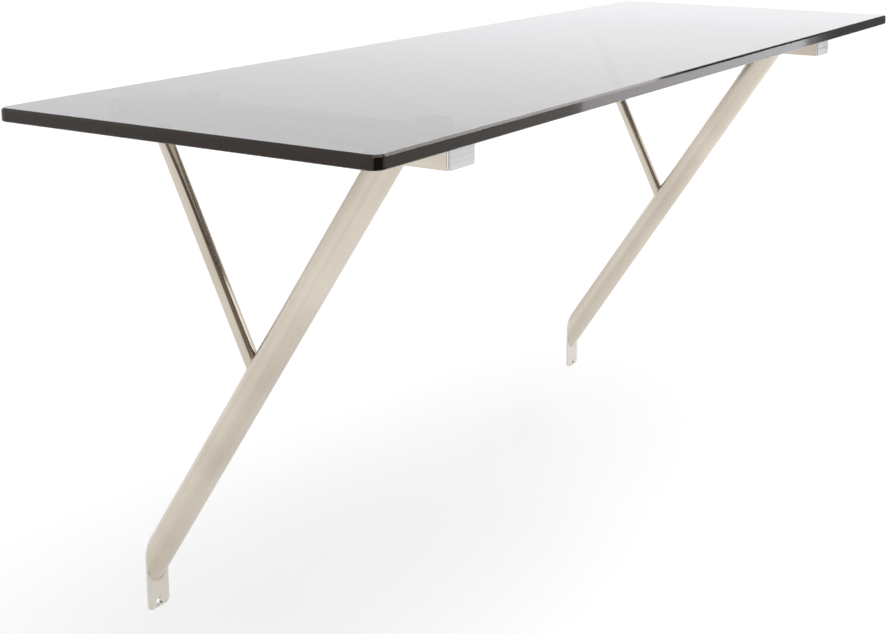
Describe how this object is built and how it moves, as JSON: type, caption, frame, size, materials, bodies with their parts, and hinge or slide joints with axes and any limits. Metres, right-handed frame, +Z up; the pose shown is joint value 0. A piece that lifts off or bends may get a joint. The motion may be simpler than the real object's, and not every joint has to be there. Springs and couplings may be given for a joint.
{
  "type": "wall-mounted desk",
  "caption": "Wall-mounted desk: a level smoked glass slab on Y-shaped satin steel wall brackets, each a tube rail with a sloping round strut and a thinner round brace.",
  "frame": {"origin": "on the wall, midway between the brackets, on the line of the upper screw holes, 39 mm below the glass's upper face", "axes": "+X to the right of a person facing the wall, +Y into the wall, +Z up"},
  "size_m": [1.524, 0.51, 0.679],
  "materials": {
    "smoked_glass": "polished smoked glass",
    "satin_steel": "satin, warm grey",
    "pad_rubber": "matt black"
  },
  "bodies": {
    "root": {"glass_top": "smoked_glass", "left_rail": "satin_steel", "left_rail_cap": "satin_steel", "left_wall_plate": "satin_steel", "left_strut": "satin_steel", "left_brace": "satin_steel", "left_foot_plate": "satin_steel", "left_rear_standoff": "satin_steel", "left_front_standoff": "satin_steel", "left_rear_pad": "pad_rubber", "left_front_pad": "pad_rubber", "right_rail": "satin_steel", "right_rail_cap": "satin_steel", "right_wall_plate": "satin_steel", "right_strut": "satin_steel", "right_brace": "satin_steel", "right_foot_plate": "satin_steel", "right_rear_standoff": "satin_steel", "right_front_standoff": "satin_steel", "right_rear_pad": "pad_rubber", "right_front_pad": "pad_rubber"}
  },
  "joints": []
}
